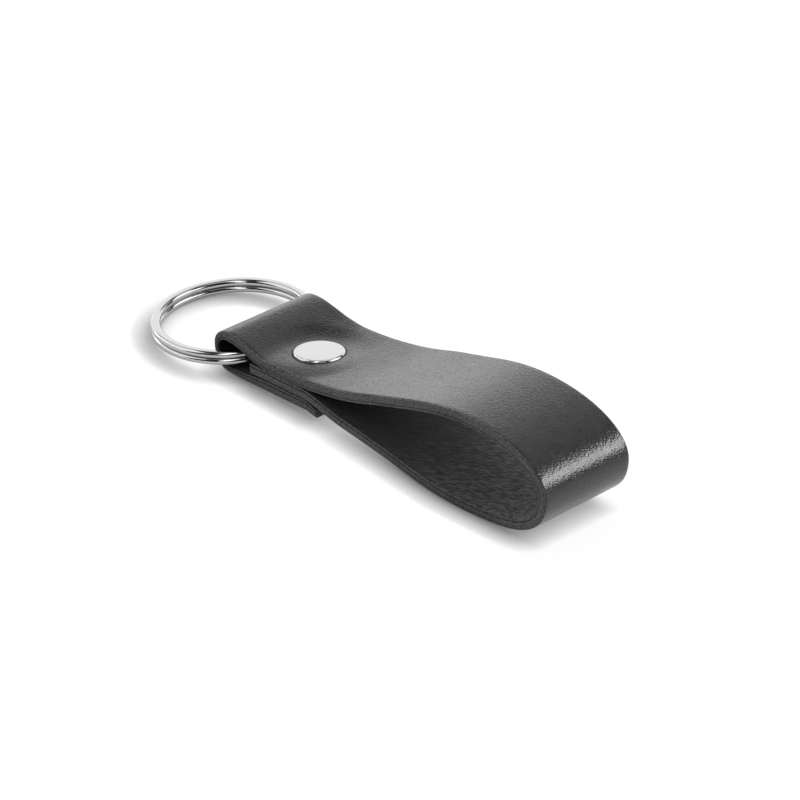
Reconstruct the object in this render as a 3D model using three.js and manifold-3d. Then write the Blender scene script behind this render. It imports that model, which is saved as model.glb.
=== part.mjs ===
// Loop keychain: a leather strap folded round a split ring and closed by a double-cap rivet.
// Millimetres, +Z up, +X from the ring to the loop's round end, origin under the middle of the part.
import * as THREE from "three";
import { mergeVertices } from "three/addons/utils/BufferGeometryUtils.js";
import Module from "manifold-3d";

// Strap
const strapWidth = 20;
const strapThickness = 2;
const foldThickness = 1.1; // the leather is pared down where it turns round the ring
const tailEndThickness = 1.5;
const layerGap = 0.1; // between the layers that lie on each other at the rivet
const loopLength = 84.6; // outside, from the fold to the round end
const loopHeight = 19.3;
const loopEndHeight = 11; // height of the round end's outermost point
const crestSetback = 16.8; // from the round end to the loop's highest point
const bedSetback = 19.6; // from the round end to the stretch that lies flat
const bedLength = 6;
const slopeAngle = 19; // of the loop's top between crest and rivet
const slopeShift = 2; // of the steepest point, from halfway towards the rivet
const runOffLength = 10; // from the stack to where the lower run is on its way down
const runOffLift = 2;
const runOffAngle = -4.5;
const foldLift = 0.5; // under the fold
const foldTopSetback = 4.2; // from the fold to its highest point
const foldBottomSetback = 3.4; // from the fold to its lowest point
const foldMiddleHeight = 5; // height of the fold's outermost point
const foldPlay = 1.32; // from the fold's inside to the ring, at the strap's edges
const foldClearance = 2.7; // over and under the ring, together
const tailEndLift = 1.2;
const runFullness = 0.36; // how far a curve keeps its direction, on gentle stretches
const bendFullness = 0.57; // the same on bends
const bellyFullness = 0.66; // the same under the loop's round end
const stepsPerSpan = 12;

// Rivet
const rivetMargin = 9.2; // from the strap's first end to the rivet's axis
const tailMargin = 8.1; // from the rivet's axis to the strap's last end
const rivetOffset = -1.6; // from the strap's middle line
const stackTilt = 4; // degrees that the stack rises towards the loop
const capDiameter = 9.5;
const capHeight = 0.7;
const capWall = 0.2;
const capShoulder = 0.5; // radius of the cap's rounded rim
const capLip = 0.15;
const postDiameter = 2.8;
const socketWall = 0.3;
const socketDepth = 2;
const flangeThickness = 0.15;
const fitGap = 0.1; // between pieces that touch
const holeGap = 0.2; // round the socket in the leather
const drillMargin = 1; // past the stack on both sides
const latheSteps = 48;

// Split ring
const ringDiameter = 30;
const wireWidth = 1.85;
const wireHeight = 0.94;
const wireRound = 0.4; // corner radius of the wire
const turnGap = 0.43;
const stepAngle = 12; // half of the arc in which the wire climbs to its second turn
const ringPlay = 0.5; // from the ring to the strap's first end
const turnSteps = 60;
const cornerSteps = 3;

const leather = new THREE.MeshStandardMaterial({ color: 0x2b2b2c, roughness: 0.55, metalness: 0 });
const nickel = new THREE.MeshStandardMaterial({ color: 0xd8d8d8, roughness: 0.15, metalness: 1 });

const degrees = THREE.MathUtils.degToRad;

// Where things stand along the strap, from the fold's outside
const ringRadius = ringDiameter / 2;
const ringHeight = 2 * wireHeight + turnGap;
const ringDepth = ringRadius - Math.sqrt((ringRadius - wireWidth) ** 2 - (strapWidth / 2) ** 2);
const buttSetback = foldThickness + foldPlay + ringDepth + ringPlay;
const rivetSetback = buttSetback + rivetMargin;
const capSpan = capDiameter / 2 + fitGap;

// Heights of the stack, which stands on the lower cap's edge, and of the fold's hollow
const layerPitch = strapThickness + layerGap;
const stackHeight = 3 * strapThickness + 2 * layerGap;
const stackMiddle = capHeight + fitGap + (capDiameter / 2) * Math.sin(degrees(stackTilt)) + stackHeight / 2;
const hollowHeight = ringHeight + foldClearance;
const foldTopHeight = foldLift + foldThickness + hollowHeight + strapThickness;
const hollowMiddle = foldLift + foldThickness + hollowHeight / 2;

// The ring lies with its far edge on the table and goes through the middle of the fold's hollow
const ringTilt = Math.asin((hollowMiddle - ringHeight / 2) / (ringDiameter - ringDepth / 2));
const ringCentreX = buttSetback - ringPlay - ringRadius * Math.cos(ringTilt);
const ringCentreZ = ringRadius * Math.sin(ringTilt) + (ringHeight / 2) * Math.cos(ringTilt);
const ringEndX = ringCentreX - ringRadius * Math.cos(ringTilt) - (ringHeight / 2) * Math.sin(ringTilt);

const wasm = await Module();
wasm.setup();

function toSolid(geometry) {
  const bare = geometry.clone();
  bare.deleteAttribute("normal");
  bare.deleteAttribute("uv");
  const merged = mergeVertices(bare, 1e-4);
  return new wasm.Manifold(
    new wasm.Mesh({
      numProp: 3,
      vertProperties: new Float32Array(merged.attributes.position.array),
      triVerts: new Uint32Array(merged.index.array),
    }),
  );
}

function toGeometry(solid) {
  const mesh = solid.getMesh();
  const geometry = new THREE.BufferGeometry();
  geometry.setAttribute("position", new THREE.BufferAttribute(mesh.vertProperties, 3));
  geometry.setIndex(new THREE.BufferAttribute(mesh.triVerts, 1));
  geometry.computeVertexNormals();
  return geometry;
}

// A station is a point of the strap's middle line, with its heading in degrees
function station(x, z, heading, thickness = strapThickness) {
  const angle = degrees(heading);
  const way = new THREE.Vector2(Math.cos(angle), Math.sin(angle));
  return { at: new THREE.Vector2(x, z), way, thickness };
}

// A point in the stack, by its layer: -1 is the tail, 0 the strap's first end, 1 the top
function stackStation(x, layer, heading) {
  const tilt = degrees(stackTilt);
  const rise = (x - rivetSetback) * Math.tan(tilt) + (layer * layerPitch) / Math.cos(tilt);
  return station(x, stackMiddle + rise, heading + stackTilt);
}

function spanCurve(a, b, fullness) {
  const chord = b.at.clone().sub(a.at);
  return new THREE.CubicBezierCurve(
    a.at,
    a.at.clone().addScaledVector(a.way, fullness * Math.abs(chord.dot(a.way))),
    b.at.clone().addScaledVector(b.way, -fullness * Math.abs(chord.dot(b.way))),
    b.at,
  );
}

// Each entry is a station and how full the curve is that leads to it
function strapRoute() {
  const half = strapThickness / 2;
  const stackLeft = rivetSetback - capSpan;
  const stackRight = rivetSetback + capSpan;
  const bedX = loopLength - bedSetback;
  const crestX = loopLength - crestSetback;
  const topRight = stackStation(stackRight, 1, 180);
  const slopeX = (stackRight + crestX) / 2 - slopeShift;
  const slopeZ = (topRight.at.y + loopHeight - half) / 2;
  const foldHalf = foldThickness / 2;
  const tailEnd = rivetSetback + tailMargin;
  return [
    [stackStation(buttSetback, 0, 0), runFullness],
    [stackStation(stackRight - capSpan / 3, 0, 0), runFullness],
    [station(stackRight + runOffLength, runOffLift + half, runOffAngle), runFullness],
    [station(bedX - bedLength, half, 0), runFullness],
    [station(bedX, half, 0), runFullness],
    [station(loopLength - half, loopEndHeight, 90), bellyFullness],
    [station(crestX, loopHeight - half, 180), bendFullness],
    [station(slopeX, slopeZ, 180 + slopeAngle), runFullness],
    [topRight, runFullness],
    [stackStation(stackLeft, 1, 180), runFullness],
    [station(foldTopSetback, foldTopHeight - half, 180), runFullness],
    [station(foldHalf, foldMiddleHeight, 270, foldThickness), bendFullness],
    [station(foldBottomSetback, foldLift + foldHalf, 0, foldThickness), bendFullness],
    [stackStation(stackLeft, -1, 0), runFullness],
    [stackStation(stackRight, -1, 0), runFullness],
    [station(tailEnd, tailEndLift + tailEndThickness / 2, 0, tailEndThickness), runFullness],
  ];
}

function strapOutline() {
  const route = strapRoute();
  const left = [];
  const right = [];
  for (let i = 1; i < route.length; i += 1) {
    const [from] = route[i - 1];
    const [to, fullness] = route[i];
    const curve = spanCurve(from, to, fullness);
    for (let k = i === 1 ? 0 : 1; k <= stepsPerSpan; k += 1) {
      const t = k / stepsPerSpan;
      const at = curve.getPoint(t);
      const way = curve.getTangent(t);
      const thickness = THREE.MathUtils.lerp(from.thickness, to.thickness, t);
      const side = new THREE.Vector2(-way.y, way.x).multiplyScalar(thickness / 2);
      left.push(at.clone().add(side));
      right.push(at.clone().sub(side));
    }
  }
  return new THREE.Shape([...right, ...left.reverse()]);
}

function rivetHole() {
  const radius = postDiameter / 2 + fitGap + socketWall + holeGap;
  const drill = new THREE.CylinderGeometry(radius, radius, stackHeight + 2 * drillMargin, latheSteps);
  drill.rotateX(Math.PI / 2);
  drill.rotateY(-degrees(stackTilt));
  drill.translate(rivetSetback, rivetOffset, stackMiddle);
  return drill;
}

function makeStrap() {
  const band = new THREE.ExtrudeGeometry(strapOutline(), { depth: strapWidth, bevelEnabled: false });
  band.rotateX(Math.PI / 2);
  band.translate(0, strapWidth / 2, 0);
  return toGeometry(toSolid(band).subtract(toSolid(rivetHole())));
}

function lathe(profile) {
  const points = profile.map(([radius, height]) => new THREE.Vector2(radius, height));
  return new THREE.LatheGeometry(points, latheSteps).rotateX(Math.PI / 2);
}

function arc(centreRadius, centreHeight, radius, from, to, steps) {
  const points = [];
  for (let k = 0; k <= steps; k += 1) {
    const angle = degrees(from + ((to - from) * k) / steps);
    points.push([centreRadius + radius * Math.cos(angle), centreHeight + radius * Math.sin(angle)]);
  }
  return points;
}

// A cap stands on height 0 and has its flat face at capHeight
function makeCap() {
  const outer = capDiameter / 2;
  const inner = outer - capWall;
  const lipInner = outer - 3 * capWall;
  return lathe([
    [0, capHeight - capWall],
    [inner, capHeight - capWall],
    [inner, capLip],
    [lipInner, capLip],
    [lipInner, 0],
    [outer - capWall, 0],
    ...arc(outer - capShoulder, capHeight - capShoulder, capShoulder, 0, 90, 6),
    [0, capHeight],
  ]);
}

const flangeRadius = capDiameter / 2 - capWall - fitGap;
const flangeHeight = (capLip + capHeight - capWall - flangeThickness) / 2;
const faceHeight = stackHeight / 2 + fitGap; // where a cap stands, from the stack's middle

function makeSocket() {
  const inner = postDiameter / 2 + fitGap;
  const outer = inner + socketWall;
  const top = faceHeight + flangeHeight + flangeThickness;
  const bottom = faceHeight - fitGap - socketDepth;
  return lathe([
    [inner, bottom],
    [outer, bottom],
    [outer, top - flangeThickness],
    [flangeRadius, top - flangeThickness],
    [flangeRadius, top],
    [inner, top],
    [inner, bottom],
  ]);
}

function makePost() {
  const radius = postDiameter / 2;
  const bottom = -faceHeight - flangeHeight - flangeThickness;
  const top = faceHeight + flangeHeight + flangeThickness;
  const tip = radius / 4;
  return lathe([
    [0, bottom],
    [flangeRadius, bottom],
    [flangeRadius, bottom + flangeThickness],
    [radius, bottom + flangeThickness],
    [radius, top - tip],
    [radius - tip, top],
    [0, top],
  ]);
}

// The wire's section: a rectangle with round corners, as [outwards, upwards] from its middle
function wireSection() {
  const corners = [
    [1, -1, 270],
    [1, 1, 0],
    [-1, 1, 90],
    [-1, -1, 180],
  ];
  return corners.flatMap(([right, up, from]) =>
    arc(
      right * (wireWidth / 2 - wireRound),
      up * (wireHeight / 2 - wireRound),
      wireRound,
      from,
      from + 90,
      cornerSteps,
    ),
  );
}

// The wire starts low just past its step, goes round, climbs and ends just before the step again
function wireRings() {
  const middle = ringDiameter / 2 - wireWidth / 2;
  const climb = (wireHeight + turnGap) / 2;
  const step = degrees(stepAngle);
  const end = 4 * Math.PI - step;
  const section = wireSection();
  const rings = [];
  for (let k = 0; k <= 2 * turnSteps; k += 1) {
    const angle = step + ((end - step) * k) / (2 * turnSteps);
    const level = 2 * THREE.MathUtils.smoothstep(angle, 2 * Math.PI - step, 2 * Math.PI + step) - 1;
    rings.push(
      section.map(
        ([out, up]) =>
          new THREE.Vector3(
            (middle + out) * Math.cos(angle),
            (middle + out) * Math.sin(angle),
            climb * level + up,
          ),
      ),
    );
  }
  return rings;
}

function leastGap(rings) {
  let least = Infinity;
  for (let a = 0; a < rings.length; a += 1) {
    for (let b = a + turnSteps / 4; b < rings.length; b += 1) {
      for (const p of rings[a]) {
        for (const q of rings[b]) {
          least = Math.min(least, p.distanceTo(q));
        }
      }
    }
  }
  return least;
}

function makeSplitRing() {
  const rings = wireRings();
  const count = rings[0].length;
  const index = [];
  for (let k = 0; k + 1 < rings.length; k += 1) {
    for (let j = 0; j < count; j += 1) {
      const a = k * count + j;
      const b = k * count + ((j + 1) % count);
      index.push(a, a + count, b, b, a + count, b + count);
    }
  }
  const last = (rings.length - 1) * count;
  for (let j = 1; j + 1 < count; j += 1) {
    index.push(0, j, j + 1);
    index.push(last, last + j + 1, last + j);
  }
  const geometry = new THREE.BufferGeometry().setFromPoints(rings.flat());
  geometry.setIndex(index);
  geometry.computeVertexNormals();
  console.log(`split_ring: least gap to itself ${leastGap(rings).toFixed(2)} mm`);
  return geometry;
}

function piece(name, geometry, material) {
  const mesh = new THREE.Mesh(geometry, material);
  mesh.name = name;
  return mesh;
}

const rivet = new THREE.Group();
rivet.position.set(rivetSetback, rivetOffset, stackMiddle);
rivet.rotation.y = -degrees(stackTilt);
const topCap = piece("rivet_top_cap", makeCap(), nickel);
topCap.position.z = faceHeight;
const bottomCap = piece("rivet_bottom_cap", makeCap(), nickel);
bottomCap.position.z = -faceHeight;
bottomCap.rotation.x = Math.PI;
rivet.add(topCap, bottomCap);
rivet.add(piece("rivet_socket", makeSocket(), nickel));
rivet.add(piece("rivet_post", makePost(), nickel));

const splitRing = piece("split_ring", makeSplitRing(), nickel);
splitRing.position.set(ringCentreX, 0, ringCentreZ);
splitRing.rotation.y = -ringTilt;

const keychain = new THREE.Group();
keychain.add(piece("strap", makeStrap(), leather), splitRing, rivet);
keychain.position.x = -(ringEndX + loopLength) / 2;

export default keychain;
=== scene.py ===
import bpy
import bmesh
import math
from mathutils import Matrix, Vector
from mathutils.geometry import interpolate_bezier


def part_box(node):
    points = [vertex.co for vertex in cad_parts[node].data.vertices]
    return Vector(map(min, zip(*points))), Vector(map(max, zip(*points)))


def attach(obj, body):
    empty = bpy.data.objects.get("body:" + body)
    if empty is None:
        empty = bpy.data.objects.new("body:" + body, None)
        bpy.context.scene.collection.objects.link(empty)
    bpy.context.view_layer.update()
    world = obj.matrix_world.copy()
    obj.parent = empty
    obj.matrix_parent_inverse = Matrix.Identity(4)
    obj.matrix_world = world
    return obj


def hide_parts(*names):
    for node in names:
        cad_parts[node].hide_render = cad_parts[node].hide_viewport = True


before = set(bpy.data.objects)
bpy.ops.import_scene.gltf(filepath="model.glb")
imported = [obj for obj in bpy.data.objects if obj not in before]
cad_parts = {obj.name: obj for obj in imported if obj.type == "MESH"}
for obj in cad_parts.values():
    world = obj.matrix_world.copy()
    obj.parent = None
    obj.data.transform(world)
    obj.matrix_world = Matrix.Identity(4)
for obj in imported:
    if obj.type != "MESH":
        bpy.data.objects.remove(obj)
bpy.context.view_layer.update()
mm = 0.001
strapLow, strapHigh = (Vector(corner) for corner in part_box("strap"))
ringLow, ringHigh = (Vector(corner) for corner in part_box("split_ring"))
print("frame loaded, strap", [round(v / mm, 2) for v in strapHigh - strapLow], "mm")


# shader helpers

noiseSpan = (0.3, 0.7)            # where most of a noise texture's values lie


def newMaterial(name, baseColor, roughness, metallic=0.0):
    mat = bpy.data.materials.new(name)
    mat.use_nodes = True
    shader = mat.node_tree.nodes["Principled BSDF"]
    shader.inputs["Base Color"].default_value = (*baseColor, 1)
    shader.inputs["Roughness"].default_value = roughness
    shader.inputs["Metallic"].default_value = metallic
    return mat, mat.node_tree, shader


def addNode(tree, kind, **settings):
    node = tree.nodes.new(kind)
    for key, value in settings.items():
        setattr(node, key, value)
    return node


def addNoise(tree, coords, scale, detail=4.0, roughness=0.55):
    noise = addNode(tree, "ShaderNodeTexNoise")
    noise.inputs["Scale"].default_value = scale
    noise.inputs["Detail"].default_value = detail
    noise.inputs["Roughness"].default_value = roughness
    tree.links.new(coords, noise.inputs["Vector"])
    return noise.outputs["Fac"]


def addRange(tree, value, fromLow, fromHigh, toLow, toHigh):
    remap = addNode(tree, "ShaderNodeMapRange")
    ends = {"From Min": fromLow, "From Max": fromHigh, "To Min": toLow, "To Max": toHigh}
    for socket, number in ends.items():
        remap.inputs[socket].default_value = number
    tree.links.new(value, remap.inputs["Value"])
    return remap.outputs["Result"]


def addMath(tree, operation, first, second):
    node = addNode(tree, "ShaderNodeMath", operation=operation)
    for socket, value in zip(node.inputs, (first, second)):
        if isinstance(value, (int, float)):
            socket.default_value = value
        else:
            tree.links.new(value, socket)
    return node.outputs["Value"]


def addColorMix(tree, factor, low, high):
    mix = addNode(tree, "ShaderNodeMix", data_type="RGBA")
    mix.inputs["A"].default_value = (*low, 1)
    mix.inputs["B"].default_value = (*high, 1)
    tree.links.new(factor, mix.inputs["Factor"])
    return mix.outputs["Result"]


def addBump(tree, height, strength, distance):
    bump = addNode(tree, "ShaderNodeBump")
    bump.inputs["Strength"].default_value = strength
    bump.inputs["Distance"].default_value = distance
    tree.links.new(height, bump.inputs["Height"])
    return bump.outputs["Normal"]


fibreDetail = {
    "strands": 1.0,
    "patches": 3.0,
    "patchScale": 0.12,           # of the strands' scale
}


# leather fibre: a height from the strands and a slow mottle from the patches
def fibreGroup(detail):
    group = bpy.data.node_groups.new("leatherFibre", "ShaderNodeTree")
    group.interface.new_socket("Flat", in_out="INPUT", socket_type="NodeSocketVector")
    group.interface.new_socket("Size", in_out="INPUT", socket_type="NodeSocketFloat")
    group.interface.new_socket("Height", in_out="OUTPUT", socket_type="NodeSocketFloat")
    group.interface.new_socket("Mottle", in_out="OUTPUT", socket_type="NodeSocketFloat")
    ins = addNode(group, "NodeGroupInput")
    outs = addNode(group, "NodeGroupOutput")
    strands = addNode(group, "ShaderNodeTexNoise")
    strands.inputs["Detail"].default_value = detail["strands"]
    patches = addNode(group, "ShaderNodeTexNoise")
    patches.inputs["Detail"].default_value = detail["patches"]
    for noise in (strands, patches):
        group.links.new(ins.outputs["Flat"], noise.inputs["Vector"])
    group.links.new(ins.outputs["Size"], strands.inputs["Scale"])
    slow = addMath(group, "MULTIPLY", ins.outputs["Size"], detail["patchScale"])
    group.links.new(slow, patches.inputs["Scale"])
    group.links.new(strands.outputs["Fac"], outs.inputs["Height"])
    group.links.new(patches.outputs["Fac"], outs.inputs["Mottle"])
    return group


leatherFibre = fibreGroup(fibreDetail)


def flatCoords(tree):
    return addNode(tree, "ShaderNodeUVMap", uv_map="flatStrap").outputs["UV"]    # metres along and across


def objectCoords(tree):
    return addNode(tree, "ShaderNodeTexCoord").outputs["Object"]


# fibres drawn out along one direction, given by its angles
def placeFibre(tree, coords, lie, stretch, size):
    drawn = addNode(tree, "ShaderNodeMapping", vector_type="TEXTURE")
    drawn.inputs["Rotation"].default_value = [math.radians(angle) for angle in lie]
    drawn.inputs["Scale"].default_value = stretch
    tree.links.new(coords, drawn.inputs["Vector"])
    node = addNode(tree, "ShaderNodeGroup", node_tree=leatherFibre)
    node.inputs["Size"].default_value = size
    tree.links.new(drawn.outputs["Vector"], node.inputs["Flat"])
    return node


hideLie = (57.4, 10.2, 40.5)      # angles at which the hide's fibres lie
grainLook = {
    "dark": (0.02, 0.02, 0.021),
    "light": (0.03, 0.03, 0.031),
    "roughness": (0.17, 0.23),
    "specular": 0.56,
    "fuzz": ((1.8, 1, 1), 3900),  # stretch, strands per metre
    "relief": 0.000075,
    "pebbleScale": 2500,          # pebbles per metre
    "pebbleSmooth": 0.5,
    "pebbleShare": 0.25,
    "cloudScale": 320,
    "creaseDull": 0.7,            # roughness added in the crease round a cap
}
fleshLook = {
    "dark": (0.004, 0.004, 0.004),
    "light": (0.24, 0.24, 0.24),
    "roughness": (0.75, 0.92),
    "fibres": ((12, 1, 4), 6200),
    "relief": 0.0001,
    "tint": (0.4, 0.66),
    "loopInsideShade": (0.034, 0.082, 0.08, 1.0),    # painted shade deep in the loop: metres along the strap, share of the pale tint
    # painted shade where the layers cover the flesh side and inside the fold: metres along the strap, share
    # of the pale tint
    "coveredShade": (0.13, 0.15, 1.0, 0.05),
}
edgeLook = {
    "dark": (0.02, 0.02, 0.02),
    "light": (0.125, 0.125, 0.125),
    "roughness": (0.5, 0.72),
    "fibres": ((4, 1, 1), 5600),
    "relief": 0.00007,
    "tint": (0.4, 0.66),
    "groove": (0.06, 0.2, 0.1, 1.0),        # painted shade in the groove: millimetres from its line, share of the pale tint
}


# 0 in the crease where the leather meets a cap's rim, where the grain gets painted shade and a duller
# finish; 1 away from it
def creaseShadeMask(tree):
    apart = addNode(tree, "ShaderNodeVectorMath", operation="SUBTRACT")
    apart.inputs[1].default_value = rivetMatrix().translation
    tree.links.new(objectCoords(tree), apart.inputs[0])
    around = addNode(tree, "ShaderNodeVectorMath", operation="CROSS_PRODUCT")
    around.inputs[1].default_value = rivetAxis()
    tree.links.new(apart.outputs["Vector"], around.inputs[0])
    radius = addNode(tree, "ShaderNodeVectorMath", operation="LENGTH")
    tree.links.new(around.outputs["Vector"], radius.inputs[0])
    rim = rivetSize["capDiameter"] / 2
    start, end = ((rim + reach) * mm for reach in rivetSize["crease"])
    return addRange(tree, radius.outputs["Value"], start, end, 0, 1)


# smooth dyed grain side: drawn-out fuzz, fine pebbles, faint clouding, and painted shade in the crease
# round each cap
def grainLeather(look):
    mat, tree, shader = newMaterial("grainLeather", look["dark"], look["roughness"][0])
    shader.inputs["Specular IOR Level"].default_value = look["specular"]
    flat = flatCoords(tree)
    fibre = placeFibre(tree, objectCoords(tree), hideLie, *look["fuzz"])
    pebbles = addNode(tree, "ShaderNodeTexVoronoi", feature="SMOOTH_F1")
    pebbles.inputs["Scale"].default_value = look["pebbleScale"]
    pebbles.inputs["Smoothness"].default_value = look["pebbleSmooth"]
    tree.links.new(flat, pebbles.inputs["Vector"])
    grains = addMath(tree, "MULTIPLY", pebbles.outputs["Distance"], look["pebbleShare"])
    height = addMath(tree, "ADD", fibre.outputs["Height"], grains)
    tree.links.new(addBump(tree, height, 1.0, look["relief"]), shader.inputs["Normal"])
    clouds = addRange(tree, addNoise(tree, flat, look["cloudScale"]), *noiseSpan, 0.0, 1.0)
    clear = creaseShadeMask(tree)
    # painted shade: the base colour falls to its dark end in the crease round a cap
    tint = addMath(tree, "MULTIPLY", clouds, clear)
    tree.links.new(addColorMix(tree, tint, look["dark"], look["light"]), shader.inputs["Base Color"])
    polish = addRange(tree, fibre.outputs["Mottle"], *noiseSpan, *look["roughness"])
    worn = addMath(tree, "ADD", polish, addRange(tree, clear, 0, 1, look["creaseDull"], 0))
    tree.links.new(worn, shader.inputs["Roughness"])
    return mat


# matt fibres, for the flesh side and the cut edge, paler where unshadedShare is 1 and darker in painted
# shade where it is lower
def fibrousLeather(mat, tree, shader, look, fibre, unshadedShare):
    tree.links.new(addBump(tree, fibre.outputs["Height"], 1.0, look["relief"]), shader.inputs["Normal"])
    pale = addRange(tree, fibre.outputs["Height"], *look["tint"], 0.0, 1.0)
    tint = addMath(tree, "MULTIPLY", pale, unshadedShare)
    tree.links.new(addColorMix(tree, tint, look["dark"], look["light"]), shader.inputs["Base Color"])
    matt = addRange(tree, fibre.outputs["Mottle"], *noiseSpan, *look["roughness"])
    tree.links.new(matt, shader.inputs["Roughness"])
    return mat


# flesh side: painted shade, darker deep inside the loop and paler towards the loop's end, and dark where
# the layers cover it
def fleshLeather(look):
    mat, tree, shader = newMaterial("fleshLeather", look["dark"], look["roughness"][0])
    fibre = placeFibre(tree, objectCoords(tree), hideLie, *look["fibres"])
    along = addNode(tree, "ShaderNodeSeparateXYZ")
    tree.links.new(flatCoords(tree), along.inputs["Vector"])
    # painted shade: darker deep inside the loop and where the layers cover it, paler towards the loop's end
    loopInsideShade = addRange(tree, along.outputs["X"], *look["loopInsideShade"])
    coveredShade = addRange(tree, along.outputs["X"], *look["coveredShade"])
    return fibrousLeather(mat, tree, shader, look, fibre, addMath(tree, "MULTIPLY", loopInsideShade, coveredShade))


# cut edge: fibres along the strap, with painted shade darkening the burnishing groove
def edgeLeather(look):
    mat, tree, shader = newMaterial("edgeLeather", look["dark"], look["roughness"][0])
    across = addNode(tree, "ShaderNodeSeparateXYZ")
    tree.links.new(flatCoords(tree), across.inputs["Vector"])
    line = (strapSize["width"] / 2 + strapSize["grooveHeight"]) * mm
    outward = addMath(tree, "ABSOLUTE", across.outputs["Y"], 0)
    apart = addMath(tree, "ABSOLUTE", addMath(tree, "SUBTRACT", outward, line), 0)
    # painted shade along the groove's recess
    near, far, dark, pale = look["groove"]
    outsideGrooveShade = addRange(tree, apart, near * mm, far * mm, dark, pale)
    fibre = placeFibre(tree, flatCoords(tree), (0, 0, 0), *look["fibres"])
    return fibrousLeather(mat, tree, shader, look, fibre, outsideGrooveShade)


plateLook = {                     # grey, roughness, scale of the haze
    "ringPlate": (0.46, 0.11, 300),
    "rivetPlate": (0.45, 0.07, 400),
}
hazeSpan = (0.7, 1.4)             # least and most of a plate's roughness


# polished plate: faint haze in the roughness
def polishedPlate(name):
    grey, roughness, hazeScale = plateLook[name]
    mat, tree, shader = newMaterial(name, (grey,) * 3, roughness, 1.0)
    haze = addNoise(tree, objectCoords(tree), hazeScale)
    hazed = addRange(tree, haze, *noiseSpan, *(roughness * share for share in hazeSpan))
    tree.links.new(hazed, shader.inputs["Roughness"])
    return mat


ringPlate = polishedPlate("ringPlate")
rivetPlate = polishedPlate("rivetPlate")
print("materials made")


def finishPiece(name, bm, body, slot, materials, *nodes):
    mesh = bpy.data.meshes.new(name)
    bm.to_mesh(mesh)
    bm.free()
    for mat in materials:
        mesh.materials.append(mat)
    for poly in mesh.polygons:
        poly.use_smooth = True
    piece = bpy.data.objects.new(name, mesh)
    bpy.context.scene.collection.objects.link(piece)
    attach(piece, body)
    if nodes:
        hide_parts(*nodes)
    return piece


# strap: a flat strip with burnished edges, bent along its route
strapSize = {
    "width": 20.0,            # all in millimetres, along X from the fold, Z from the table
    "thickness": 2.0,
    "foldThickness": 1.1,
    "tailEndThickness": 1.5,
    "layerGap": 0.1,
    "loopLength": 84.6,
    "loopHeight": 19.3,
    "loopEndHeight": 11.0,
    "crestSetback": 16.8,
    "bedSetback": 19.6,
    "bedLength": 6.0,
    "slopeAngle": 19.0,
    "slopeShift": 2.0,
    "runOff": (10.0, 2.0, -4.5),   # length past the stack, lift, angle
    "foldTop": (4.2, 8.61),
    "foldMiddle": 5.0,
    "foldBottom": (3.4, 0.36),
    "butt": 9.38,
    "tailEnd": (26.68, 1.2),
    "nearLift": ((20, 0.0), (28, 0.35), (38, 0.0)),    # along the top run, how far each edge rises
    "farLift": ((3, 0.0), (11.4, 1.0), (17.5, 0.42), (28.8, 1.0), (39, 0.68), (52, 0.3), (70, 0.0)),
    "sway": ((42, 0.0), (60, -0.6), (72, 0.0)),        # along the bottom run, shift to the near side
    "foldYaw": 1.0,           # how far the fold's top is drawn in at its far end
    "foldReach": 9.0,         # along the strap, how far that goes
    "foldLean": (2.5, 3.5),   # height at which it starts, and rise to its full amount
    "edgeRound": 0.38,
    "fleshRound": 0.18,
    "edgeSegments": 4,
    "grooveHeight": -0.52,    # burnishing line on the cut edge
    "grooveWidth": 0.26,
    "grooveDepth": 0.26,
    "wallLevels": (0.0, 0.35),
    "lengthCuts": 420,
    "widthCuts": 23,
}
rivetSize = {
    "setback": 18.58,         # millimetres from the fold, across the strap, and up the rivet's axis
    "offset": -1.6,
    "tilt": 4.0,
    "stackMiddle": 4.2313,
    "stackSpan": 4.85,        # half the length of the flat stack
    "capDiameter": 9.4,
    "capHeight": 0.52,
    "capLean": (2.9, 4.75),   # top cap's own lean, back along the strap and to the far side
    "seat": 3.12,             # from the stack's middle to where a cap stands
    "skirt": 0.34,            # how far the cap is pressed into the leather
    "rimRound": 0.4,
    "rimSegments": 9,
    "rimDrop": 0.02,          # fall of the face from its middle to the rim
    "dome": 0.03,
    "shoulder": (0.55, 0.7),  # share of the radius, and of the dome that is left there
    "lip": 1.0,               # flat of the cap's turned-in underside
    "lipRound": 0.15,
    "lipSegments": 3,
    "faceCuts": (1.2, 3),     # longest edge that stays whole, cuts in the others
    "capSteps": 144,
    "holeRadius": 2.0,
    "holeSegments": 48,
    "punchSpare": 1.0,
    "dishDepth": 0.03,
    "dishReach": 5.0,
    "crease": (0.05, 0.35),   # from a cap's rim, where the dull line of painted shade starts and ends
    "postRadius": 1.4,
    "socketRadius": 1.7,
    "socketLength": 2.2,
    "flangeRadius": 1.95,
    "flangeHeight": 0.25,
    "stemPlay": 0.1,          # between a flange and where its cap stands
    "stemRound": 0.06,
    "stemSegments": 2,
    "stemSteps": 64,
    "weld": 1e-4,
}
runFullness, bendFullness, bellyFullness = 0.36, 0.57, 0.66    # of a curve's handles
parallel = 0.999                  # how well an edge follows an axis to count
grainFacing, fleshFacing = 0.9, -0.85      # how a face looks up or down to count as either side


def clamp(value):
    return min(max(value, 0.0), 1.0)


def smoothStep(t):
    return t * t * (3 - 2 * t)


def station(x, z, heading, thickness=strapSize["thickness"]):
    angle = math.radians(heading)
    return Vector((x, 0, z)), Vector((math.cos(angle), 0, math.sin(angle))), thickness


def stackStation(x, layer, heading):
    tilt = math.radians(rivetSize["tilt"])
    pitch = (strapSize["thickness"] + strapSize["layerGap"]) / math.cos(tilt)
    rise = (x - rivetSize["setback"]) * math.tan(tilt) + layer * pitch
    return station(x, rivetSize["stackMiddle"] + rise, heading + rivetSize["tilt"])


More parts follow.
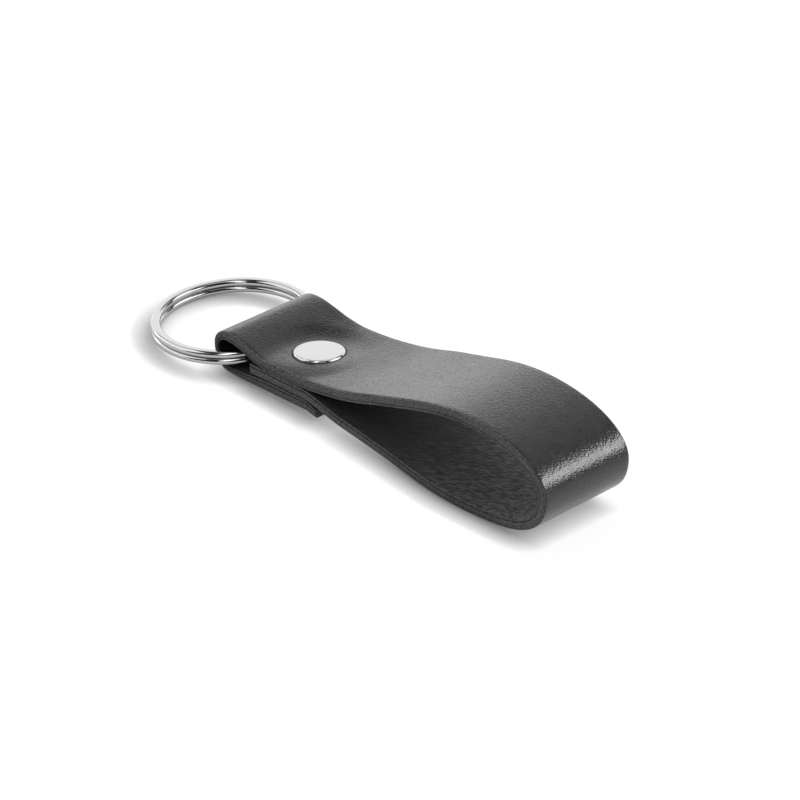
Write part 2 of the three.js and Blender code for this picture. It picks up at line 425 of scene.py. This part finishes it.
def strapRoute(size):
    half = size["thickness"] / 2
    span = rivetSize["stackSpan"]
    stackLeft = rivetSize["setback"] - span
    stackRight = rivetSize["setback"] + span
    bedX = size["loopLength"] - size["bedSetback"]
    crestX = size["loopLength"] - size["crestSetback"]
    topRight = stackStation(stackRight, 1, 180)
    slopeX = (stackRight + crestX) / 2 - size["slopeShift"]
    slopeZ = (topRight[0].z + size["loopHeight"] - half) / 2
    runLength, runLift, runAngle = size["runOff"]
    thin = size["foldThickness"]
    tailX, tailLift = size["tailEnd"]
    tailThin = size["tailEndThickness"]
    return [
        (stackStation(size["butt"], 0, 0), runFullness),
        (stackStation(stackRight - span / 3, 0, 0), runFullness),
        (station(stackRight + runLength, runLift + half, runAngle), runFullness),
        (station(bedX - size["bedLength"], half, 0), runFullness),
        (station(bedX, half, 0), runFullness),
        (station(size["loopLength"] - half, size["loopEndHeight"], 90), bellyFullness),
        (station(crestX, size["loopHeight"] - half, 180), bendFullness),
        (station(slopeX, slopeZ, 180 + size["slopeAngle"]), runFullness),
        (topRight, runFullness),
        (stackStation(stackLeft, 1, 180), runFullness),
        (station(size["foldTop"][0], size["foldTop"][1] - half, 180), runFullness),
        (station(thin / 2, size["foldMiddle"], 270, thin), bendFullness),
        (station(size["foldBottom"][0], size["foldBottom"][1] + thin / 2, 0, thin), bendFullness),
        (stackStation(stackLeft, -1, 0), runFullness),
        (stackStation(stackRight, -1, 0), runFullness),
        (station(tailX, tailLift + tailThin / 2, 0, tailThin), runFullness),
    ]


# the route as samples: length so far, place, direction and thickness
def sampleRoute(route, perSpan=40):
    samples = []
    for (start, _), (end, fullness) in zip(route, route[1:]):
        chord = end[0] - start[0]
        reachOut = start[0] + start[1] * fullness * abs(chord.dot(start[1]))
        reachIn = end[0] - end[1] * fullness * abs(chord.dot(end[1]))
        points = interpolate_bezier(start[0], reachOut, reachIn, end[0], perSpan + 1)
        for k, point in enumerate(points):
            if samples and k == 0:
                continue
            samples.append([0.0, point, Vector(), start[2] + (end[2] - start[2]) * k / perSpan])
    for k, sample in enumerate(samples):
        before = samples[max(k - 1, 0)][1]
        after = samples[min(k + 1, len(samples) - 1)][1]
        sample[2] = (after - before).normalized()
        sample[0] = samples[k - 1][0] + (sample[1] - samples[k - 1][1]).length if k else 0.0
    return samples


def betweenSamples(low, high, length):
    t = clamp((length - low[0]) / (high[0] - low[0]))
    way = (low[2] + (high[2] - low[2]) * t).normalized()
    return low[1].lerp(high[1], t), way, low[3] + (high[3] - low[3]) * t


def alongEdges(bm, axis):
    picked = []
    for edge in bm.edges:
        way = (edge.verts[1].co - edge.verts[0].co).normalized()
        if abs(way[axis]) > parallel:
            picked.append(edge)
    return picked


def flatStrip(size, length):
    bm = bmesh.new()
    bmesh.ops.create_cube(bm, size=1.0)
    bmesh.ops.scale(bm, vec=(length, size["width"], size["thickness"]), verts=bm.verts)
    bmesh.ops.translate(bm, vec=(length / 2, 0, 0), verts=bm.verts)
    rimLevel = size["thickness"] * 0.49       # just inside the strip's two faces
    for side, reach in ((1, size["edgeRound"]), (-1, size["fleshRound"])):
        rims = [edge for edge in alongEdges(bm, 0) if edge.verts[0].co.z * side > rimLevel]
        bmesh.ops.bevel(bm, geom=rims, offset=reach, offset_type="OFFSET", segments=size["edgeSegments"],
                        profile=0.5, affect="EDGES", material=-1)
    groove = size["grooveHeight"]
    half = size["grooveWidth"] / 2
    for level in (groove - half, groove, groove + half, *size["wallLevels"]):
        bmesh.ops.bisect_plane(bm, geom=bm.verts[:] + bm.edges[:] + bm.faces[:], plane_co=(0, 0, level),
                               plane_no=(0, 0, 1))
    for vert in bm.verts:
        if math.isclose(vert.co.z, groove, abs_tol=1e-4):
            vert.co.y -= math.copysign(size["grooveDepth"], vert.co.y)
    bmesh.ops.subdivide_edges(bm, edges=alongEdges(bm, 0), cuts=size["lengthCuts"], use_grid_fill=True)
    bmesh.ops.subdivide_edges(bm, edges=alongEdges(bm, 1), cuts=size["widthCuts"], use_grid_fill=True)
    return bm


def easeTable(table, x):
    if x <= table[0][0]:
        return table[0][1]
    for (lowX, low), (highX, high) in zip(table, table[1:]):
        if x <= highX:
            t = (x - lowX) / (highX - lowX)
            return low + (high - low) * smoothStep(t)
    return table[-1][1]


# the hand-folded loop's small departures from a straight strip
def relax(place, way, size):
    side = clamp(place.y / size["width"] + 0.5)      # 0 on the near edge, 1 on the far one
    shift = Vector()
    if way.x < 0:
        near = easeTable(size["nearLift"], place.x)
        far = easeTable(size["farLift"], place.x)
        shift.z = (near + (far - near) * side * side) * -way.x
    else:
        shift.y = easeTable(size["sway"], place.x) * way.x
    start, rise = size["foldLean"]
    lean = clamp((place.z - start) / rise)
    shift.x = size["foldYaw"] * side * lean * smoothStep(clamp(1 - place.x / size["foldReach"]))
    return place + shift


# material and flat coordinates of each face, while the strip is still flat
def dressStrip(bm, size):
    flat = bm.loops.layers.uv.new("flatStrap")
    for face in bm.faces:
        face.normal_update()
        grain, flesh = face.normal.z > grainFacing, face.normal.z < fleshFacing
        face.material_index = 0 if grain else 1 if flesh else 2
        for loop in face.loops:
            co = loop.vert.co
            across = co.y if grain or flesh else math.copysign(size["width"] / 2 + co.z, co.y)
            loop[flat].uv = (co.x * mm, across * mm)


# leather gives under the caps, and follows the top cap's lean
def dishAt(place):
    axis = rivetAxis()
    leanBack, leanFar = (math.tan(math.radians(angle)) for angle in rivetSize["capLean"])
    centre = Vector((rivetSize["setback"], rivetSize["offset"], rivetSize["stackMiddle"]))
    apart = place - centre
    up = apart.dot(axis)
    radius = (apart - axis * up).length
    if abs(up) < strapSize["thickness"]:
        return 0.0
    rim = rivetSize["capDiameter"] / 2
    nearness = clamp((rim + rivetSize["dishReach"] - radius) / rivetSize["dishReach"])
    rise = apart.x * leanBack - apart.y * leanFar if up > 0 else 0.0
    return (rivetSize["dishDepth"] - rise) * smoothStep(nearness)


def bendStrip(bm, size, samples):
    hint = 0
    for vert in sorted(bm.verts, key=lambda v: v.co.x):
        along, across, out = vert.co
        while hint + 2 < len(samples) and samples[hint + 1][0] < along:
            hint += 1
        place, way, thickness = betweenSamples(samples[hint], samples[hint + 1], along)
        grainSide = Vector((way.z, 0, -way.x))
        height = out * thickness / size["thickness"]
        target = place + grainSide * height + Vector((0, across, 0))
        target = relax(target, way, size)
        if out > 0:
            target -= grainSide * dishAt(target) * min(out / (size["thickness"] / 2), 1.0)
        vert.co = target
    bmesh.ops.scale(bm, vec=(mm, mm, mm), verts=bm.verts)
    bmesh.ops.translate(bm, vec=(strapLow.x, 0, 0), verts=bm.verts)
    bmesh.ops.recalc_face_normals(bm, faces=bm.faces)


def rivetAxis():
    tilt = math.radians(rivetSize["tilt"])
    return Vector((-math.sin(tilt), 0, math.cos(tilt)))


def rivetMatrix():
    place = Matrix.Translation((strapLow.x + rivetSize["setback"] * mm, rivetSize["offset"] * mm,
                                rivetSize["stackMiddle"] * mm))
    return place @ Matrix.Rotation(-math.radians(rivetSize["tilt"]), 4, "Y") @ Matrix.Scale(mm, 4)


def punchHole(piece):
    bm = bmesh.new()
    radius = rivetSize["holeRadius"]
    depth = 2 * rivetSize["seat"] + rivetSize["punchSpare"]
    bmesh.ops.create_cone(bm, cap_ends=True, segments=rivetSize["holeSegments"], radius1=radius,
                          radius2=radius, depth=depth)
    bm.transform(rivetMatrix())
    mesh = bpy.data.meshes.new("punch")
    bm.to_mesh(mesh)
    bm.free()
    punch = bpy.data.objects.new("punch", mesh)
    bpy.context.scene.collection.objects.link(punch)
    cut = piece.modifiers.new("hole", "BOOLEAN")
    cut.operation = "DIFFERENCE"
    cut.object = punch
    cut.solver = "EXACT"
    bpy.context.view_layer.update()
    holed = bpy.data.meshes.new_from_object(piece.evaluated_get(bpy.context.evaluated_depsgraph_get()))
    piece.modifiers.clear()
    piece.data = holed
    bpy.data.objects.remove(punch)
    bpy.data.meshes.remove(mesh)


samples = sampleRoute(strapRoute(strapSize))
strip = flatStrip(strapSize, samples[-1][0])
dressStrip(strip, strapSize)
bendStrip(strip, strapSize, samples)
strap = finishPiece("leatherStrap", strip, "strap", "black_leather",
                    (grainLeather(grainLook), fleshLeather(fleshLook), edgeLeather(edgeLook)), "strap")
punchHole(strap)
print("strap bent,", round(samples[-1][0], 1), "mm flat length,", len(strap.data.polygons), "faces")


def drawProfile(bm, corners):
    verts = [bm.verts.new((x, 0, z)) for x, z in corners]
    for a, b in zip(verts, verts[1:]):
        bm.edges.new((a, b))
    return verts


def roundCorners(bm, corners, reach, segments):
    bmesh.ops.bevel(bm, geom=corners, offset=reach, offset_type="OFFSET", segments=segments, profile=0.5,
                    affect="VERTICES", material=-1)


def spinProfile(bm, steps):
    bmesh.ops.spin(bm, geom=bm.verts[:] + bm.edges[:], cent=(0, 0, 0), axis=(0, 0, 1), angle=math.tau,
                   steps=steps, use_merge=True)
    bmesh.ops.remove_doubles(bm, verts=bm.verts, dist=rivetSize["weld"])


# caps: a pressed disc with a rolled rim, spun round the rivet's axis
def makeCap(name, node, upsideDown):
    bm = bmesh.new()
    rim, lip = rivetSize["capDiameter"] / 2, rivetSize["lip"]
    top, dome, foot = rivetSize["capHeight"], rivetSize["dome"], -rivetSize["skirt"]
    out, left = rivetSize["shoulder"]
    edge = top - rivetSize["rimDrop"]
    verts = drawProfile(bm, ((0, top + dome), (rim * out, top + dome * left), (rim, edge), (rim, foot),
                             (rim - lip, foot), (0, foot)))
    roundCorners(bm, [verts[2]], rivetSize["rimRound"], rivetSize["rimSegments"])
    outerFoot = [v for v in bm.verts if v.co.x > rim - lip / 2 and v.co.z < 0]
    roundCorners(bm, outerFoot, rivetSize["lipRound"], rivetSize["lipSegments"])
    longest, cuts = rivetSize["faceCuts"]
    bmesh.ops.subdivide_edges(bm, edges=[e for e in bm.edges if e.calc_length() > longest], cuts=cuts)
    spinProfile(bm, rivetSize["capSteps"])
    if not upsideDown:
        leanBack, leanFar = (math.radians(angle) for angle in rivetSize["capLean"])
        lean = Matrix.Rotation(-leanBack, 3, "Y") @ Matrix.Rotation(-leanFar, 3, "X")
        bmesh.ops.rotate(bm, cent=(0, 0, 0), matrix=lean, verts=bm.verts)
    bmesh.ops.translate(bm, vec=(0, 0, rivetSize["seat"]), verts=bm.verts)
    if upsideDown:
        bmesh.ops.rotate(bm, cent=(0, 0, 0), matrix=Matrix.Rotation(math.pi, 3, "X"), verts=bm.verts)
    bm.transform(rivetMatrix())
    bmesh.ops.recalc_face_normals(bm, faces=bm.faces)
    return finishPiece(name, bm, "strap", "rivet_metal", (rivetPlate,), node)


caps = [
    makeCap("topCap", "rivet_top_cap", False),
    makeCap("bottomCap", "rivet_bottom_cap", True),
]


# inside the leather: a flanged post pressed into a flanged socket
def makeStem(size):
    bm = bmesh.new()
    flange, socket, post = size["flangeRadius"], size["socketRadius"], size["postRadius"]
    top = size["seat"] - size["stemPlay"]
    under = top - size["flangeHeight"]
    step = top - size["socketLength"]
    verts = drawProfile(bm, ((0, top), (flange, top), (flange, under), (socket, under), (socket, step),
                             (post, step), (post, -under), (flange, -under), (flange, -top), (0, -top)))
    roundCorners(bm, [v for v in verts if v.co.x > 0], size["stemRound"], size["stemSegments"])
    spinProfile(bm, size["stemSteps"])
    bm.transform(rivetMatrix())
    bmesh.ops.recalc_face_normals(bm, faces=bm.faces)
    return finishPiece("rivetStem", bm, "strap", "rivet_metal", (rivetPlate,), "rivet_socket", "rivet_post")


makeStem(rivetSize)
print("rivet made")


# split ring: one wire spun through two turns with a step between them
ringSize = {
    "diameter": 29.7,         # millimetres, as the rest
    "wireWidth": 1.85,
    "wireHeight": 1.25,
    "cornerRound": 0.6,
    "cornerSegments": 16,
    "turnGap": 0.03,
    "stepAngle": 12.0,        # half of the climb, in degrees
    "tilt": 5.6,
    "shift": (0.35, -0.19, -0.124),    # from the middle of the frame's ring
    "turnSteps": 300,
    "climbSteps": 12,
    "weld": 1e-5,
}


def wireFace(bm, size):
    bmesh.ops.create_grid(bm, x_segments=1, y_segments=1, size=0.5)
    bmesh.ops.scale(bm, vec=(size["wireWidth"], size["wireHeight"], 1), verts=bm.verts)
    roundCorners(bm, bm.verts[:], size["cornerRound"], size["cornerSegments"])
    bmesh.ops.rotate(bm, cent=(0, 0, 0), matrix=Matrix.Rotation(math.pi / 2, 3, "X"), verts=bm.verts)
    middle = (size["diameter"] - size["wireWidth"]) / 2
    drop = (size["wireHeight"] + size["turnGap"]) / 2
    bmesh.ops.translate(bm, vec=(middle, 0, -drop), verts=bm.verts)
    step = Matrix.Rotation(math.radians(size["stepAngle"]), 3, "Z")
    bmesh.ops.rotate(bm, cent=(0, 0, 0), matrix=step, verts=bm.verts)
    return bm.verts[:] + bm.edges[:] + bm.faces[:]


def splitRing(size):
    bm = bmesh.new()
    geom = wireFace(bm, size)
    climb = 2 * math.radians(size["stepAngle"])
    flatTurn = (math.tau - climb, size["turnSteps"], 0.0)
    stepUp = (climb, size["climbSteps"], size["wireHeight"] + size["turnGap"])
    for angle, steps, up in (flatTurn, stepUp, flatTurn):
        spun = bmesh.ops.spin(bm, geom=geom, cent=(0, 0, 0), axis=(0, 0, 1), dvec=(0, 0, up / steps),
                              angle=angle, steps=steps)
        geom = spun["geom_last"]
    bmesh.ops.remove_doubles(bm, verts=bm.verts, dist=size["weld"])
    bmesh.ops.recalc_face_normals(bm, faces=bm.faces)
    centre = (ringLow + ringHigh) / 2 + Vector(size["shift"]) * mm
    lean = Matrix.Rotation(-math.radians(size["tilt"]), 4, "Y")
    bm.transform(Matrix.Translation(centre) @ lean @ Matrix.Scale(mm, 4))
    return finishPiece("splitRing", bm, "ring", "ring_steel", (ringPlate,), "split_ring")


ring = splitRing(ringSize)
print("split ring spun,", len(ring.data.polygons), "faces")


# studio: pale floor, bright cards behind, soft lamps, and cards aimed at single pieces
studio = {
    "azimuth": 46.97,
    "elevation": 32.0,
    "distance": 1.5913,
    "lens": 409.8,
    "target": (0.00567, 0.0, 0.00565),
    "sensor": 36.0,
    "clipEnd": 20.0,
    "floorHalf": 0.4,
    "floorColor": 0.55,
    "floorRough": 0.7,
    "floorSeen": 0.1,         # floor colour and glow to the camera
    "floorGlow": 0.94,
    "contactShade": ((-0.05, 0.8, 0.5), 0.0042, 1.4),   # lean, reach, depth
    "contactSamples": 6,
    "surround": 0.04,         # what reflections show where there is no card
}
# azimuth, elevation, distance, width, height, radiance, lights, reflects, aimed at
lamps = {
    "overhead": (137, 86, 1.0, 3.2, 3.2, 0.7, True, False, None),
    "backKey": (137, 55, 1.0, 1.2, 1.2, 1.6, True, False, None),
    "horizonCard": (137, 3.5, 1.1, 3.4, 0.19, 2.0, False, True, None),
    "backCard": (137, 18.6, 1.12, 3.4, 0.4, 1.54, False, True, None),
    "highCard": (137, 38.5, 1.15, 3.0, 0.4, 0.48, False, True, None),
    "upperCard": (93, 55, 1.15, 1.6, 0.32, 0.78, False, True, None),
    "rightBox": (37, 25.0, 0.8, 0.75, 0.32, 9.0, False, True, "leather"),
    "rightCard": (37, 29.0, 0.82, 0.85, 0.55, 2.7, False, True, "metal"),
    "leftBox": (214, 32, 0.8, 1.0, 0.85, 1.6, False, True, None),
    "topCard": (137, 76, 1.2, 1.3, 1.2, 0.9, False, True, "caps"),
    "ringCard": (137, 88, 1.2, 0.7, 0.7, 0.8, False, True, "ring"),
    "frontCard": (314, 32, 1.4, 1.6, 0.5, 1.2, False, True, "caps"),
    "frontStrip": (297, 50, 0.8, 0.2, 0.75, 2.6, False, True, None),
}


def compass(azimuth, elevation):
    az, el = math.radians(azimuth), math.radians(elevation)
    return Vector((math.cos(az) * math.cos(el), math.sin(az) * math.cos(el), math.sin(el)))


def makeFloor():
    bm = bmesh.new()
    bmesh.ops.create_grid(bm, x_segments=4, y_segments=4, size=studio["floorHalf"])
    mesh = bpy.data.meshes.new("floor")
    bm.to_mesh(mesh)
    bm.free()
    mat, tree, shader = newMaterial("paleFloor", (studio["floorColor"],) * 3, studio["floorRough"])
    shader.inputs["Specular IOR Level"].default_value = 0.0
    shader.inputs["Emission Color"].default_value = (1, 1, 1, 1)
    lean, reach, depth = studio["contactShade"]
    contact = addNode(tree, "ShaderNodeAmbientOcclusion", samples=studio["contactSamples"])
    contact.inputs["Distance"].default_value = reach
    facing = addNode(tree, "ShaderNodeCombineXYZ")
    for socket, part in zip(facing.inputs, Vector(lean).normalized()):
        socket.default_value = part
    tree.links.new(facing.outputs["Vector"], contact.inputs["Normal"])
    shade = addMath(tree, "POWER", contact.outputs["AO"], depth)
    path = addNode(tree, "ShaderNodeLightPath")
    seen = addMath(tree, "MAXIMUM", path.outputs["Is Camera Ray"], path.outputs["Is Glossy Ray"])
    seen = addMath(tree, "MAXIMUM", seen, path.outputs["Is Transmission Ray"])
    shadeSeen = addMath(tree, "MULTIPLY", seen, shade)
    plain = addRange(tree, seen, 0, 1, studio["floorColor"], 0)
    albedo = addMath(tree, "ADD", plain, addMath(tree, "MULTIPLY", shadeSeen, studio["floorSeen"]))
    tree.links.new(albedo, shader.inputs["Base Color"])
    glow = addMath(tree, "MULTIPLY", shadeSeen, studio["floorGlow"])
    tree.links.new(glow, shader.inputs["Emission Strength"])
    mesh.materials.append(mat)
    floor = bpy.data.objects.new("floor", mesh)
    bpy.context.scene.collection.objects.link(floor)


def makeWorld():
    world = bpy.data.worlds.new("studioSurround")
    bpy.context.scene.world = world
    world.use_nodes = True
    tree = world.node_tree
    background = tree.nodes["Background"]
    background.inputs["Color"].default_value = (1, 1, 1, 1)
    seen = addNode(tree, "ShaderNodeLightPath").outputs["Is Camera Ray"]
    strength = addRange(tree, seen, 0, 1, studio["surround"], 1.0)
    tree.links.new(strength, background.inputs["Strength"])


def addLamp(name, azimuth, elevation, distance, width, height, radiance, lights, shows, aim):
    lamp = bpy.data.lights.new(name, "AREA")
    lamp.shape = "RECTANGLE"
    lamp.size = width
    lamp.size_y = height
    lamp.energy = radiance * math.pi * width * height
    holder = bpy.data.objects.new(name, lamp)
    back = compass(azimuth, elevation)
    holder.location = back * distance
    holder.rotation_euler = back.to_track_quat("Z", "Y").to_euler()
    holder.visible_camera = False
    holder.visible_diffuse = lights
    holder.visible_glossy = shows
    if aim:
        holder.light_linking.receiver_collection = aims[aim]
    bpy.context.scene.collection.objects.link(holder)


def makeCamera():
    lens = bpy.data.cameras.new("camera")
    lens.sensor_width = studio["sensor"]
    lens.lens = studio["lens"]
    lens.clip_end = studio["clipEnd"]
    back = compass(studio["azimuth"] - 90, studio["elevation"])
    camera = bpy.data.objects.new("camera", lens)
    camera.location = Vector(studio["target"]) + back * studio["distance"]
    camera.rotation_euler = back.to_track_quat("Z", "Y").to_euler()
    bpy.context.scene.collection.objects.link(camera)
    bpy.context.scene.camera = camera


aimedPieces = {"leather": [strap], "metal": [*caps, ring], "caps": caps, "ring": [ring]}
aims = {}                     # what each aimed lamp shines on
for aim, pieces in aimedPieces.items():
    aims[aim] = bpy.data.collections.new(aim + "Pieces")
    for piece in pieces:
        aims[aim].objects.link(piece)
makeFloor()
makeWorld()
for name, values in lamps.items():
    addLamp(name, *values)
makeCamera()
bpy.context.scene.view_settings.view_transform = "Standard"
print("studio set")
